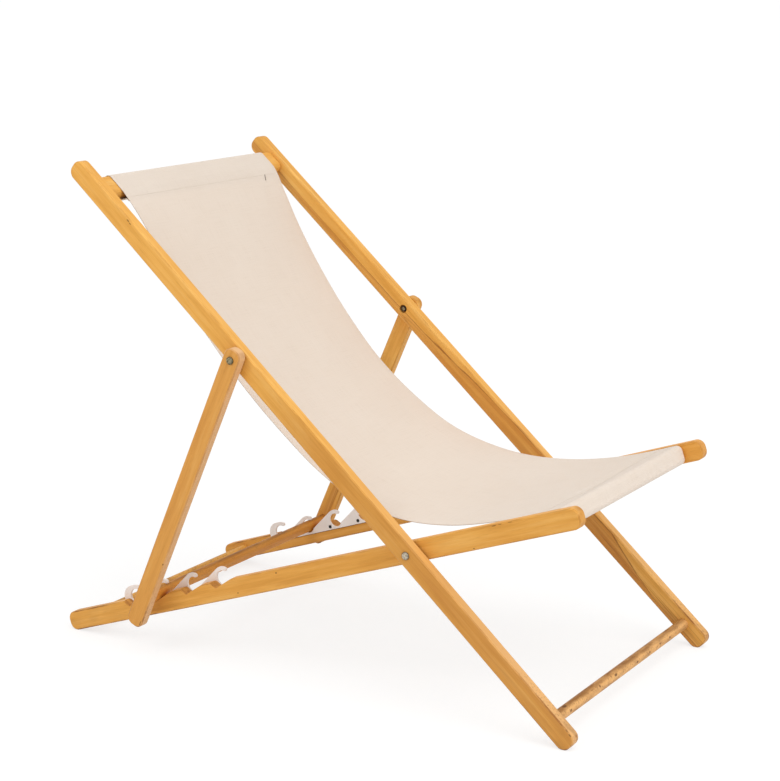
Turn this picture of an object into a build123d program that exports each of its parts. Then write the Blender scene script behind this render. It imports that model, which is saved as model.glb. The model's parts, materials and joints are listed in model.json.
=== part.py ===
"""Folding wooden deck chair with a canvas sling.

+Z is up and the chair faces -Y. Three frames turn on bolts that lie along X: the back frame,
the seat frame inside it, and the prop frame outside it, whose bar sits in a notch of the seat
rails. Every rail is drawn in the side plane, in its own axes: along the rail from its pivot,
and square to it.
"""

from math import asin, atan2, cos, degrees, hypot, radians, sin, tan
import os

from build123d import *

os.makedirs("parts", exist_ok=True)

# Stance
back_angle = 41.4  # back rails above the floor, degrees
seat_angle = 19.3  # seat rails fall to the rear by this, degrees
foot_flat = 0.6  # depth of the flat that each rail end wears on the floor

# Back frame
back_width = 536.8  # over the outer faces of the back rails
back_rail_length = 1250.0
rail_width = 34.0
rail_thickness = 20.0
rail_corner = 14.0  # rounding of the rail ends, seen from the side
edge_chamfer = 2.0  # the long edges are eased by this
foot_to_pivot = 386.0  # foot end to main pivot, along the back rail
pivot_to_prop = 422.3  # main pivot to prop pivot, along the back rail
foot_to_dowel = 48.5
top_to_rail = 59.0  # top end to the middle of the top canvas rail
top_rail_width = 42.0
top_rail_thickness = 20.0
slat_round = 8.0  # rounding of the canvas rails
dowel_diameter = 19.0
tenon_depth = 12.0  # how far dowels and tenons enter their rails
tenon_shoulder = 4.0  # a tenon is narrower than its slat by this, all round

# Seat frame
rail_gap = 4.0  # between back rail and seat rail
seat_front_reach = 303.0  # main pivot to the front end
front_to_rail = 45.0  # front end to the middle of the front canvas rail
front_rail_width = 30.0
front_rail_thickness = 20.0
rear_to_dowel = 50.0  # rear end to the middle of the rear dowel
notch_count = 4
notch_pitch = 66.5
first_notch = 404.0  # main pivot to the bar in the most upright notch
used_notch = 2  # counted from the most upright one, which is 0
notch_depth = 11.0  # below the top edge of the seat rail
notch_front_slope = 16.5  # front wall of the notch above the rail's line, degrees
notch_rear_slope = 47.0  # and its rear wall

# Prop frame
prop_gap = 1.5  # between back rail and prop leg
leg_width = 32.0
leg_thickness = 18.0
leg_corner = 13.0
leg_above_pivot = 19.0
leg_below_bar = 53.0
bar_width = 24.0
bar_thickness = 16.0
bar_tilt = 46.0  # the bar's flat above the seat rail, degrees
bar_clearance = 0.3

# Hook plates
plate_thickness = 4.0
plate_foot = 2.0  # lower edge of the plate above the rail's middle line
plate_strip = 10.0  # height of the strip that joins the hooks
plate_front = 16.0  # plate in front of the first bar position
hook_clearance = 0.8  # between bar and hook, all round
exit_clearance = 2.0  # between the cut-back hook and the bar as it leaves
hook_wall = 7.0  # thickness of the hook over the bar
hook_slope = 28.0  # straight back of a hook above the rail's line, degrees
hook_curl = 32.0  # the hook ends this far forward of its crown, degrees
last_back = 28.0  # steep back of the last hook behind its bar position
last_round = 20.0

# Pivot bolts
bolt_diameter = 6.0
bolt_fit = 0.05  # radial running clearance in the rail that turns
head_diameter = 13.0
head_height = 3.2
head_chamfer = 1.6
running_gap = 0.2  # between faces that turn against each other
washer_diameter = 18.0
washer_thickness = 1.4
nut_width = 10.0  # across flats
nut_thickness = 5.0
recess_diameter = 15.0
recess_depth = 6.5
bolt_overrun = 1.5  # thread beyond the nut

# Canvas sling
canvas_margin = 4.4  # between the canvas and the seat rail on each side
canvas_thickness = 1.2
canvas_gap = 0.3  # cloth off the wood
hem_overlap = 20.0  # returned cloth beyond the canvas rail
# Places of the sling between its two rails: along the chord from the top rail to the front
# rail, and how deep below it, as shares of the chord's length
sag_shares = [
    (0.12, 0.067), (0.30, 0.158), (0.46, 0.208), (0.60, 0.2255), (0.72, 0.209), (0.86, 0.135),
]

# Fold
dowel_stop_gap = 2.0  # seat rails stay this far from the foot dowel when the chair is open flat
prop_stop_gap = 1.5  # and the bar this far from the seat rails

sides = {"left": -1, "right": 1}


def lowest(reach, angle, width, corner):
    """Drop from a pivot to the lowest point of a round-ended rail."""
    tilt = radians(angle)
    return (reach - corner) * sin(tilt) + (width / 2 - corner) * cos(tilt) + corner


def furthest(reach, angle, width, corner):
    """Level distance from a pivot to the end of a round-ended rail."""
    tilt = radians(angle)
    return (reach - corner) * cos(tilt) + (width / 2 - corner) * sin(tilt) + corner


# Reach of each rail from the main pivot
back_top_reach = back_rail_length - foot_to_pivot
pivot_height = lowest(foot_to_pivot, back_angle, rail_width, rail_corner) - foot_flat
seat_rear_reach = rail_corner + (
    pivot_height + foot_flat - rail_corner - (rail_width / 2 - rail_corner) * cos(radians(seat_angle))
) / sin(radians(seat_angle))
front_extent = max(
    furthest(foot_to_pivot, back_angle, rail_width, rail_corner),
    furthest(seat_front_reach, seat_angle, rail_width, rail_corner),
)
rear_extent = max(
    furthest(seat_rear_reach, seat_angle, rail_width, rail_corner),
    furthest(back_top_reach, back_angle, rail_width, rail_corner),
)
main_pivot = (-(rear_extent - front_extent) / 2, pivot_height)


def from_pivot(pivot, angle, along, across):
    """A point of the side plane, (y, z), given in a rail's own axes."""
    turn = radians(angle)
    return (
        pivot[0] + along * cos(turn) - across * sin(turn),
        pivot[1] + along * sin(turn) + across * cos(turn),
    )


def side_plane(x, pivot, angle):
    """Side plane at x whose own x runs along a rail and whose z is +X."""
    turn = radians(angle)
    return Plane(origin=(x, *pivot), x_dir=(0, cos(turn), sin(turn)), z_dir=(1, 0, 0))


# The prop's triangle: prop pivot, main pivot and the bar. The bar's lower end is round and rests
# between the two walls of its notch, which sets the bar's middle ahead of the notch's bottom and
# above it.
prop_pivot = from_pivot(main_pivot, back_angle, pivot_to_prop, 0)
half_opening = (180 - notch_front_slope - notch_rear_slope) / 2
bar_end_rise = (bar_thickness / 2 + bar_clearance) / sin(radians(half_opening))
bar_arm = (bar_width - bar_thickness) / 2
bar_ahead = bar_arm * cos(radians(bar_tilt)) - bar_end_rise * cos(radians(notch_rear_slope + half_opening))
bar_above = bar_arm * sin(radians(bar_tilt)) + bar_end_rise * sin(radians(notch_rear_slope + half_opening))
bar_rise = rail_width / 2 - notch_depth + bar_above
bar_place = first_notch + used_notch * notch_pitch
bar_centre = from_pivot(main_pivot, -seat_angle, bar_place, bar_rise)
prop_reach = hypot(bar_centre[0] - prop_pivot[0], bar_centre[1] - prop_pivot[1])
prop_angle = degrees(atan2(prop_pivot[1] - bar_centre[1], bar_centre[0] - prop_pivot[0]))

# Layers across the chair, from the outside in
back_outer = back_width / 2
back_inner = back_outer - rail_thickness
seat_outer = back_inner - rail_gap
seat_inner = seat_outer - rail_thickness
leg_inner = back_outer + prop_gap
leg_outer = leg_inner + leg_thickness

# The fold: the seat frame swings on until its rails meet the foot dowel, nearly in line with
# the back rails, and the prop frame swings forward until its bar meets the seat rails
rest_opening = back_angle + seat_angle
dowel_reach = foot_to_pivot - foot_to_dowel
stop_angle = degrees(asin((rail_width + dowel_diameter + 2 * dowel_stop_gap) / 2 / dowel_reach))
fold_range = 180 - rest_opening - stop_angle
prop_below = prop_reach - pivot_to_prop  # bar below the main pivot with the prop swung in
bar_offset = (
    rail_width / 2 / cos(radians(stop_angle)) + prop_below * tan(radians(stop_angle))
    + bar_width / 2 + prop_stop_gap
)
prop_swing = 180 - back_angle - prop_angle - degrees(asin(bar_offset / prop_reach))
fold_ratio = prop_swing / fold_range

# The way the bar leaves its notch at the start of the fold, in the seat rail's axes
bar_from_pivot = (bar_place, bar_rise)
prop_place = (
    pivot_to_prop * cos(radians(rest_opening)),
    pivot_to_prop * sin(radians(rest_opening)),
)
bar_from_prop = (bar_place - prop_place[0], bar_rise - prop_place[1])
exit_angle = degrees(atan2(
    bar_from_pivot[0] - fold_ratio * bar_from_prop[0],
    fold_ratio * bar_from_prop[1] - bar_from_pivot[1],
))
print(f"main pivot y {main_pivot[0]:.2f} z {main_pivot[1]:.2f}")
print(f"prop pivot y {prop_pivot[0]:.2f} z {prop_pivot[1]:.2f}")
print(f"bar y {bar_centre[0]:.2f} z {bar_centre[1]:.2f}, prop {prop_reach:.1f} at {prop_angle:.2f} degrees")
print(f"seat rail {seat_front_reach + seat_rear_reach:.1f} long, rear reach {seat_rear_reach:.1f}")
print(f"fold {fold_range:.2f} degrees, prop {prop_swing:.2f}, ratio {fold_ratio:.4f}, exit {exit_angle:.1f}")

# Back rails: drilled for the main bolt, and counterbored inside for the prop bolt's nut
for name, side in sides.items():
    outer_plane = side_plane(side * back_outer, main_pivot, back_angle)
    inner_plane = side_plane(side * back_inner, main_pivot, back_angle)
    with BuildPart() as back_rail:
        with BuildSketch(outer_plane):
            with Locations(((back_top_reach - foot_to_pivot) / 2, 0)):
                RectangleRounded(back_rail_length, rail_width, rail_corner)
        extrude(amount=-side * rail_thickness)
        chamfer(back_rail.faces().filter_by(Axis.X).edges(), edge_chamfer)
        with BuildSketch(outer_plane):
            with Locations((0, 0), (pivot_to_prop, 0)):
                Circle(bolt_diameter / 2)
        extrude(amount=-side * rail_thickness, mode=Mode.SUBTRACT)
        with BuildSketch(inner_plane):
            with Locations((pivot_to_prop, 0)):
                Circle(recess_diameter / 2)
        extrude(amount=side * recess_depth, mode=Mode.SUBTRACT)
        with BuildSketch(inner_plane):
            with Locations((-dowel_reach, 0)):
                Circle(dowel_diameter / 2)
            with Locations((back_top_reach - top_to_rail, 0)):
                Rectangle(top_rail_width - 2 * tenon_shoulder, top_rail_thickness - 2 * tenon_shoulder)
        extrude(amount=side * tenon_depth, mode=Mode.SUBTRACT)
        split(bisect_by=Plane.XY, keep=Keep.TOP)
    back_rail.part.label = f"back_rail_{name}"
    export_step(back_rail.part, f"parts/back_rail_{name}.step")

# Top canvas rail, a round-edged slat with a tenon at each end
with BuildPart() as top_rail:
    with BuildSketch(side_plane(0, main_pivot, back_angle)):
        with Locations((back_top_reach - top_to_rail, 0)):
            RectangleRounded(top_rail_width, top_rail_thickness, slat_round)
    extrude(amount=back_inner, both=True)
    with BuildSketch(side_plane(0, main_pivot, back_angle)):
        with Locations((back_top_reach - top_to_rail, 0)):
            Rectangle(top_rail_width - 2 * tenon_shoulder, top_rail_thickness - 2 * tenon_shoulder)
    extrude(amount=back_inner + tenon_depth, both=True)
top_rail.part.label = "top_rail"
export_step(top_rail.part, "parts/top_rail.step")

with BuildPart() as foot_dowel:
    with BuildSketch(side_plane(0, main_pivot, back_angle)):
        with Locations((-dowel_reach, 0)):
            Circle(dowel_diameter / 2)
    extrude(amount=back_inner + tenon_depth, both=True)
foot_dowel.part.label = "foot_dowel"
export_step(foot_dowel.part, "parts/foot_dowel.step")

# Seat rails: sawtooth notches in the top edge, each with a long front wall and a steep rear one
front_run = notch_depth / tan(radians(notch_front_slope))
rear_run = notch_depth / tan(radians(notch_rear_slope))
rail_top = rail_width / 2
front_rail_place = -(seat_front_reach - front_to_rail)
rear_dowel_place = seat_rear_reach - rear_to_dowel
notch_places = [first_notch + i * notch_pitch for i in range(notch_count)]
for name, side in sides.items():
    outer_plane = side_plane(side * seat_outer, main_pivot, -seat_angle)
    inner_plane = side_plane(side * seat_inner, main_pivot, -seat_angle)
    with BuildPart() as seat_rail:
        with BuildSketch(outer_plane):
            with Locations(((seat_rear_reach - seat_front_reach) / 2, 0)):
                RectangleRounded(seat_rear_reach + seat_front_reach, rail_width, rail_corner)
        extrude(amount=-side * rail_thickness)
        chamfer(seat_rail.faces().filter_by(Axis.X).edges(), edge_chamfer)
        with BuildSketch(outer_plane):
            for place in notch_places:
                bottom = place + bar_ahead
                with BuildLine():
                    Polyline(
                        (bottom - front_run, rail_top),
                        (bottom, rail_top - notch_depth),
                        (bottom + rear_run, rail_top),
                        close=True,
                    )
                make_face()
            Circle(bolt_diameter / 2 + bolt_fit)
        extrude(amount=-side * rail_thickness, mode=Mode.SUBTRACT)
        with BuildSketch(inner_plane):
            with Locations((rear_dowel_place, 0)):
                Circle(dowel_diameter / 2)
            with Locations((front_rail_place, 0)):
                Rectangle(front_rail_thickness - 2 * tenon_shoulder, front_rail_width - 2 * tenon_shoulder)
        extrude(amount=side * tenon_depth, mode=Mode.SUBTRACT)
        split(bisect_by=Plane.XY, keep=Keep.TOP)
    seat_rail.part.label = f"seat_rail_{name}"
    export_step(seat_rail.part, f"parts/seat_rail_{name}.step")

with BuildPart() as front_rail:
    with BuildSketch(side_plane(0, main_pivot, -seat_angle)):
        with Locations((front_rail_place, 0)):
            RectangleRounded(front_rail_thickness, front_rail_width, slat_round)
    extrude(amount=seat_inner, both=True)
    with BuildSketch(side_plane(0, main_pivot, -seat_angle)):
        with Locations((front_rail_place, 0)):
            Rectangle(front_rail_thickness - 2 * tenon_shoulder, front_rail_width - 2 * tenon_shoulder)
    extrude(amount=seat_inner + tenon_depth, both=True)
front_rail.part.label = "front_rail"
export_step(front_rail.part, "parts/front_rail.step")

with BuildPart() as rear_dowel:
    with BuildSketch(side_plane(0, main_pivot, -seat_angle)):
        with Locations((rear_dowel_place, 0)):
            Circle(dowel_diameter / 2)
    extrude(amount=seat_inner + tenon_depth, both=True)
rear_dowel.part.label = "rear_dowel"
export_step(rear_dowel.part, "parts/rear_dowel.step")

# Hook plates: one strip with a hook over each notch, curled round the bar. The hook in use has
# its tip cut back along the way that the bar leaves it.
mouth_radius = bar_width / 2 + hook_clearance
hook_radius = mouth_radius + hook_wall
strip_top = plate_foot + plate_strip
crown = bar_rise + hook_radius
bar_aslant = abs(180 - bar_tilt - exit_angle)  # between the bar's flat and its way out
exit_width = bar_thickness + 2 * bar_arm * sin(radians(bar_aslant)) + 2 * exit_clearance


def over_bar(place, radius, angle):
    """A point round the bar's middle, by an angle forward of straight above it."""
    return (place - radius * sin(radians(angle)), bar_rise + radius * cos(radians(angle)))


for name, side in sides.items():
    plate_plane = side_plane(side * seat_inner, main_pivot, -seat_angle)
    with BuildPart() as hook_plate:
        with BuildSketch(plate_plane):
            strip_front = notch_places[0] - plate_front
            strip_rear = notch_places[-1] + last_back
            with Locations(((strip_front + strip_rear) / 2, (plate_foot + strip_top) / 2)):
                Rectangle(strip_rear - strip_front, plate_strip)
            for place in notch_places:
                tip = over_bar(place, hook_radius, hook_curl)
                with BuildLine():
                    if place == notch_places[-1]:
                        back = (strip_rear, plate_foot)
                        FilletPolyline(back, (strip_rear, crown), (place, crown), radius=last_round)
                        CenterArc((place, bar_rise), hook_radius, 90, hook_curl)
                    else:
                        top = over_bar(place, hook_radius, -hook_slope)
                        back = (top[0] + (top[1] - strip_top) / tan(radians(hook_slope)), strip_top)
                        Line(back, top)
                        CenterArc((place, bar_rise), hook_radius, 90 - hook_slope, hook_slope + hook_curl)
                    Polyline(tip, (place, bar_rise), (place, plate_foot), back)
                make_face()
            with Locations(*[(place, bar_rise) for place in notch_places]):
                Circle(mouth_radius, mode=Mode.SUBTRACT)
            middle_radius = mouth_radius + hook_wall / 2
            with Locations(*[over_bar(place, middle_radius, hook_curl) for place in notch_places]):
                Circle(hook_wall / 2)
            with Locations(Location((bar_place, bar_rise), exit_angle)):
                Rectangle(2 * hook_radius, exit_width, align=(Align.MIN, Align.CENTER), mode=Mode.SUBTRACT)
        extrude(amount=-side * plate_thickness)
    hook_plate.part.label = f"hook_plate_{name}"
    export_step(hook_plate.part, f"parts/hook_plate_{name}.step")

# Prop legs, and the flat oval bar between them
leg_length = leg_above_pivot + prop_reach + leg_below_bar
bar_turn = bar_tilt + seat_angle - prop_angle  # the bar's flat away from the leg's line
for name, side in sides.items():
    inner_plane = side_plane(side * leg_inner, prop_pivot, -prop_angle)
    with BuildPart() as prop_leg:
        with BuildSketch(inner_plane):
            with Locations((leg_length / 2 - leg_above_pivot, 0)):
                RectangleRounded(leg_length, leg_width, leg_corner)
        extrude(amount=side * leg_thickness)
        chamfer(prop_leg.faces().filter_by(Axis.X).edges(), edge_chamfer)
        with BuildSketch(inner_plane):
            Circle(bolt_diameter / 2 + bolt_fit)
        extrude(amount=side * leg_thickness, mode=Mode.SUBTRACT)
        with BuildSketch(inner_plane):
            with Locations(Location((prop_reach, 0), -bar_turn)):
                SlotOverall(bar_width, bar_thickness)
        extrude(amount=side * tenon_depth, mode=Mode.SUBTRACT)
    prop_leg.part.label = f"prop_leg_{name}"
    export_step(prop_leg.part, f"parts/prop_leg_{name}.step")

with BuildPart() as prop_bar:
    with BuildSketch(side_plane(0, prop_pivot, -prop_angle)):
        with Locations(Location((prop_reach, 0), -bar_turn)):
            SlotOverall(bar_width, bar_thickness)
    extrude(amount=leg_inner + tenon_depth, both=True)
prop_bar.part.label = "prop_bar"
export_step(prop_bar.part, "parts/prop_bar.step")


# Pivot bolts, their spacer washers between the rails, and their nuts
main_nut_face = seat_inner - running_gap - washer_thickness
main_tip = main_nut_face - nut_thickness - bolt_overrun
prop_nut_face = back_inner + recess_depth
prop_seat = leg_outer + running_gap
prop_tip = back_inner + bolt_overrun / 2
for name, side in sides.items():
    for bolt_name, pivot, seat, tip in (
        ("main", main_pivot, back_outer, main_tip),
        ("prop", prop_pivot, prop_seat, prop_tip),
    ):
        with BuildPart() as pivot_bolt:
            with BuildSketch(side_plane(side * seat, pivot, 0)):
                Circle(head_diameter / 2)
            extrude(amount=side * head_height)
            chamfer(pivot_bolt.faces().sort_by(Axis.X)[-1 if side > 0 else 0].edges(), head_chamfer)
            with BuildSketch(side_plane(side * seat, pivot, 0)):
                Circle(bolt_diameter / 2)
            extrude(amount=-side * (seat - tip))
        pivot_bolt.part.label = f"{bolt_name}_bolt_{name}"
        export_step(pivot_bolt.part, f"parts/{bolt_name}_bolt_{name}.step")

    for washer_name, pivot, face, thickness in (
        ("main_spacer", main_pivot, back_inner, rail_gap - running_gap),
        ("prop_washer", prop_pivot, back_outer, -(prop_gap - running_gap)),
        ("main_washer", main_pivot, main_nut_face + washer_thickness, washer_thickness),
    ):
        with BuildPart() as washer:
            with BuildSketch(side_plane(side * face, pivot, 0)):
                Circle(washer_diameter / 2)
                Circle(bolt_diameter / 2, mode=Mode.SUBTRACT)
            extrude(amount=-side * thickness)
        washer.part.label = f"{washer_name}_{name}"
        export_step(washer.part, f"parts/{washer_name}_{name}.step")

    for nut_name, pivot, face in (
        ("main", main_pivot, main_nut_face),
        ("prop", prop_pivot, prop_nut_face),
    ):
        with BuildPart() as nut:
            with BuildSketch(side_plane(side * face, pivot, 0)):
                RegularPolygon(nut_width / 2, 6, major_radius=False)
                Circle(bolt_diameter / 2, mode=Mode.SUBTRACT)
            extrude(amount=-side * nut_thickness)
        nut.part.label = f"{nut_name}_nut_{name}"
        export_step(nut.part, f"parts/{nut_name}_nut_{name}.step")

# Canvas sling: hemmed round the top rail, hanging in its sag, hemmed round the front rail
top_place = back_top_reach - top_to_rail
top_half = (top_rail_width / 2 + canvas_gap, top_rail_thickness / 2 + canvas_gap)
front_half = (front_rail_thickness / 2 + canvas_gap, front_rail_width / 2 + canvas_gap)
wrap_radius = slat_round + canvas_gap
leave_top = from_pivot(main_pivot, back_angle, top_place - top_rail_width / 2 + slat_round, top_half[1])
reach_front = from_pivot(
    main_pivot, -seat_angle, front_rail_place + front_rail_thickness / 2 - slat_round, front_half[1]
)
chord = (reach_front[0] - leave_top[0], reach_front[1] - leave_top[1])
sag_points = [
    (leave_top[0] + along * chord[0] - deep * chord[1], leave_top[1] + along * chord[1] + deep * chord[0])
    for along, deep in sag_shares
]
top_loop = [
    from_pivot(main_pivot, back_angle, top_place + along, across)
    for along, across in (
        (-top_half[0] - hem_overlap, top_half[1] - top_rail_thickness / 2),
        (-top_half[0], -top_half[1]),
        (top_half[0], -top_half[1]),
        (top_half[0], top_half[1]),
    )
]
front_loop = [
    from_pivot(main_pivot, -seat_angle, front_rail_place + along, across)
    for along, across in (
        (-front_half[0], front_half[1]),
        (-front_half[0], -front_half[1]),
        (front_half[0], -front_half[1]),
        (front_half[0] + hem_overlap, front_half[1] - 3 * canvas_thickness),
    )
]
sling_line = [*top_loop, leave_top, *sag_points, reach_front, *front_loop]


def raised(points, amount):
    """A bent line moved to its right by an amount, with its corners kept."""
    rights = []
    for (y0, z0), (y1, z1) in zip(points, points[1:]):
        run = hypot(y1 - y0, z1 - z0)
        rights.append(((z1 - z0) / run, (y0 - y1) / run))
    moved = []
    for (y, z), before, after in zip(points, [rights[0], *rights], [*rights, rights[-1]]):
        share = amount / (1 + before[0] * after[0] + before[1] * after[1])
        moved.append((y + share * (before[0] + after[0]), z + share * (before[1] + after[1])))
    return moved


back_turn = radians(back_angle)
seat_turn = radians(seat_angle)
with BuildPart() as canvas_sling:
    with BuildSketch(Plane.YZ):
        with BuildLine():
            for height in (0, canvas_thickness):
                line = raised(sling_line, height)
                FilletPolyline(*line[:5], radius=wrap_radius + height)
                Spline(
                    *line[4:-4],
                    tangents=[(-cos(back_turn), -sin(back_turn)), (-cos(seat_turn), sin(seat_turn))],
                )
                FilletPolyline(*line[-5:], radius=wrap_radius + height)
            for end in (0, -1):
                Line(sling_line[end], raised(sling_line, canvas_thickness)[end])
        make_face()
    extrude(amount=seat_inner - canvas_margin, both=True)
canvas_sling.part.label = "canvas_sling"
export_step(canvas_sling.part, "parts/canvas_sling.step")
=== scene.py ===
"""Looks of a folding deck chair: varnished wood, woven canvas, moulded hooks and steel bolts.

Everything is in metres in the part's own frame: +Z is up, the chair faces -Y, and X runs along
the pivots.
"""

import json
import math

import bpy
import bmesh
from mathutils import Matrix, Vector


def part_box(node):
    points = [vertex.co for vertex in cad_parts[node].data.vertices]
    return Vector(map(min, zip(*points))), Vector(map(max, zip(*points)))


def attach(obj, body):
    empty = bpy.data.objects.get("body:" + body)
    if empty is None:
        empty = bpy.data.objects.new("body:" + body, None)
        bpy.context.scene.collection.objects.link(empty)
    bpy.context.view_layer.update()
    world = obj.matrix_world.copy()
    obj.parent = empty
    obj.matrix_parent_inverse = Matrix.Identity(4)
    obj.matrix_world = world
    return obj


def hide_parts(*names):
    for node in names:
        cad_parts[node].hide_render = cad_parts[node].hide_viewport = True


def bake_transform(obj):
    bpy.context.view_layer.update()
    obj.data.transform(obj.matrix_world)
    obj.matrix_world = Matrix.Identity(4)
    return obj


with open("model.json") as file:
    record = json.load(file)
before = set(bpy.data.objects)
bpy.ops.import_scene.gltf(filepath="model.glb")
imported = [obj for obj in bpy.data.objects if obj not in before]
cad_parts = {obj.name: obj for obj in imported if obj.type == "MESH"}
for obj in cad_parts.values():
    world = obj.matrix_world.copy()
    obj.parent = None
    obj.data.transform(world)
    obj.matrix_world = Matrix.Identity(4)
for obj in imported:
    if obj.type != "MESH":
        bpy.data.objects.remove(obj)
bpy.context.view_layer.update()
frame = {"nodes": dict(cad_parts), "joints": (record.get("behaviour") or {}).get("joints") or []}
nodes = frame["nodes"]
joints = {joint["name"]: joint for joint in frame["joints"]}
sides = {"left": -1, "right": 1}

cross = Vector((1, 0, 0))  # the way the slats, dowels and pivots run

# Stance of the rails, degrees, as the part has it
BACK_ANGLE = 41.4
SEAT_ANGLE = -19.3
MAIN_PIVOT = Vector(joints["frame_fold"]["pos_m"])
PROP_PIVOT = Vector(joints["prop_fold"]["pos_m"])


def side_vectors(angle):
    """Along and across a rail that rises to the rear by an angle."""
    turn = math.radians(angle)
    return Vector((0, math.cos(turn), math.sin(turn))), Vector((0, -math.sin(turn), math.cos(turn)))


back_along, back_across = side_vectors(BACK_ANGLE)
seat_along, seat_across = side_vectors(SEAT_ANGLE)


def centre(node):
    low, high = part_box(node)
    return (low + high) / 2


# Camera

CAMERA_PLACE = Vector((-2.7109, -1.6787, 1.1782))
CAMERA_HEADING = 58.502  # from +Y towards +X, degrees
CAMERA_DIP = 12.89  # below the horizon, degrees
PHOTO_SIZE = (780, 781)
FOCAL_PIXELS = 1914.2


def make_camera():
    data = bpy.data.cameras.new("camera")
    data.sensor_fit = "HORIZONTAL"
    data.lens = data.sensor_width * FOCAL_PIXELS / PHOTO_SIZE[0]
    data.clip_end = 200
    camera = bpy.data.objects.new("camera", data)
    camera.location = CAMERA_PLACE
    camera.rotation_euler = (math.radians(90 - CAMERA_DIP), 0, math.radians(-CAMERA_HEADING))
    bpy.context.collection.objects.link(camera)
    bpy.context.scene.camera = camera


# Materials


def new_material(name, finish):
    """A material, its node tree and its shader, whose sockets get the values in `finish`."""
    material = bpy.data.materials.new(name)
    material.use_nodes = True
    tree = material.node_tree
    shader = tree.nodes["Principled BSDF"]
    for socket, value in finish.items():
        shader.inputs[socket].default_value = value
    return material, tree, shader


def add(tree, kind, **settings):
    """A node with its settings, and with values for the inputs named in `inputs`."""
    inputs = settings.pop("inputs", {})
    node = tree.nodes.new(kind)
    for name, value in settings.items():
        setattr(node, name, value)
    for name, value in inputs.items():
        if isinstance(value, bpy.types.NodeSocket):
            tree.links.new(value, node.inputs[name])
        else:
            node.inputs[name].default_value = value
    return node


def ramp(tree, factor, stops):
    """A colour ramp; stops are (place, colour)."""
    node = add(tree, "ShaderNodeValToRGB", inputs={"Fac": factor})
    elements = node.color_ramp.elements
    while len(elements) < len(stops):
        elements.new(1)
    for element, (place, shade) in zip(elements, stops):
        element.position = place
        element.color = (*shade, 1)
    return node.outputs["Color"]


MIX_A, MIX_B, MIX_RESULT = 6, 7, 2  # the colour sockets of a Mix node, which share their names


def mix(tree, factor, a, b, blend="MIX"):
    """Two colours, given as sockets or as values, mixed by a factor."""
    node = add(tree, "ShaderNodeMix", data_type="RGBA", blend_type=blend)
    for socket, value in ((node.inputs["Factor"], factor), (node.inputs[MIX_A], a), (node.inputs[MIX_B], b)):
        if isinstance(value, bpy.types.NodeSocket):
            tree.links.new(value, socket)
        elif isinstance(value, (int, float)):
            socket.default_value = value
        else:
            socket.default_value = (*value, 1)
    return node.outputs[MIX_RESULT]


def calculate(tree, operation, a, b=0.0):
    node = add(tree, "ShaderNodeMath", operation=operation, inputs={0: a, 1: b})
    return node.outputs[0]


def product(tree, value, *others):
    for other in others:
        value = calculate(tree, "MULTIPLY", value, other)
    return value


def dot(tree, a, b):
    return add(tree, "ShaderNodeVectorMath", operation="DOT_PRODUCT", inputs={0: a, 1: b}).outputs["Value"]


def facing(tree, normal, way):
    """How squarely a surface faces a direction or its opposite, from 0 to 1."""
    return calculate(tree, "ABSOLUTE", dot(tree, normal, way))


def spread(tree, value, low, high, to_low=0.0, to_high=1.0):
    """A value's range mapped to another and kept inside it."""
    return add(
        tree, "ShaderNodeMapRange",
        inputs={"Value": value, "From Min": low, "From Max": high, "To Min": to_low, "To Max": to_high},
    ).outputs["Result"]


def noise(tree, place, scale, detail=2.0, **inputs):
    return add(
        tree, "ShaderNodeTexNoise", inputs={"Vector": place, "Scale": scale, "Detail": detail, **inputs},
    ).outputs["Fac"]


def emboss(tree, shader, height, strength, depth):
    bump = add(tree, "ShaderNodeBump", inputs={"Height": height, "Strength": strength, "Distance": depth})
    tree.links.new(bump.outputs["Normal"], shader.inputs["Normal"])


def colour(code):
    """A linear colour from a display colour such as D49A4A, by the sRGB formula."""
    values = [int(code[i:i + 2], 16) / 255 for i in (0, 2, 4)]
    return tuple(v / 12.92 if v <= 0.04045 else ((v + 0.055) / 1.055) ** 2.4 for v in values)


# Varnished wood

WOOD_PALE = colour("F0BE6C")
WOOD_MID = colour("E6AB52")
WOOD_DEEP = colour("D49840")
# Dark growth lines and pores, also used for painted shade on end grain, notch walls and eased edges
WOOD_LINE_AND_SHADE = colour("8E5420")
WOOD_HEART = colour("B8742E")
WOOD_LIT_NARROW = colour("DCAE7C")
WOOD_KNOT_AND_SHADE = colour("54300F")
WOOD_WORN = colour("7A5230")
WOOD_UPPER_DARK = colour("8A5A26")
PLAIN = (1.0, 1.0, 1.0)  # a tint that changes nothing
SIDEWISE_TURN = (0.5, 0.9)  # a face counts as broad when it looks this squarely to the side

# Patterns drawn out along the grain: the factor on lengths along it, how fine, and how detailed
STREAKS = (0.06, 110, 4)
FIBRES = (0.035, 700)
TONES = (0.35, 16)
BLOTS = (0.35, 80, 3)
LINES = (0.022, 60, 1.5)
HEART = (0.06, 42, 3)
PORES_STRETCH, PORES_SCALE = 0.06, 480
SEED_STEPS = (1.7, 0.9, 0.4)  # how far a seed of 1 shifts a pattern
BLOTS_SEED, LINES_SEED, HEART_SEED = 5, 3, 8
STREAKS_ROUGH = 0.6
STREAKS_STOPS = [(0.22, WOOD_DEEP), (0.49, WOOD_MID), (0.80, WOOD_PALE)]
TONES_STOPS, TONES_SHARE = [(0.36, (0.93, 0.87, 0.76)), (0.64, PLAIN)], 0.7
FIBRES_STOPS, FIBRES_SHARE = [(0.36, (0.90, 0.85, 0.78)), (0.6, PLAIN)], 0.6

# Growth lines and pores, which come in patches that follow the tones
LINES_BEND, LINE_WIDTH = 0.4, 0.013
LINES_HIGH, LINES_NARROW = 0.4, 0.4  # what is left of the lines high up and on the narrow faces
FIGURED_HEIGHT = (0.40, 0.20)  # lines and heartwood grow stronger on the way down between these
PATCHES = (0.42, 0.62, 0.2, 1.0)  # range of the tones, and the strength at its ends
PORES_SIZE, PORES_DARK = (0.07, 0.2), 0.35

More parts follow.
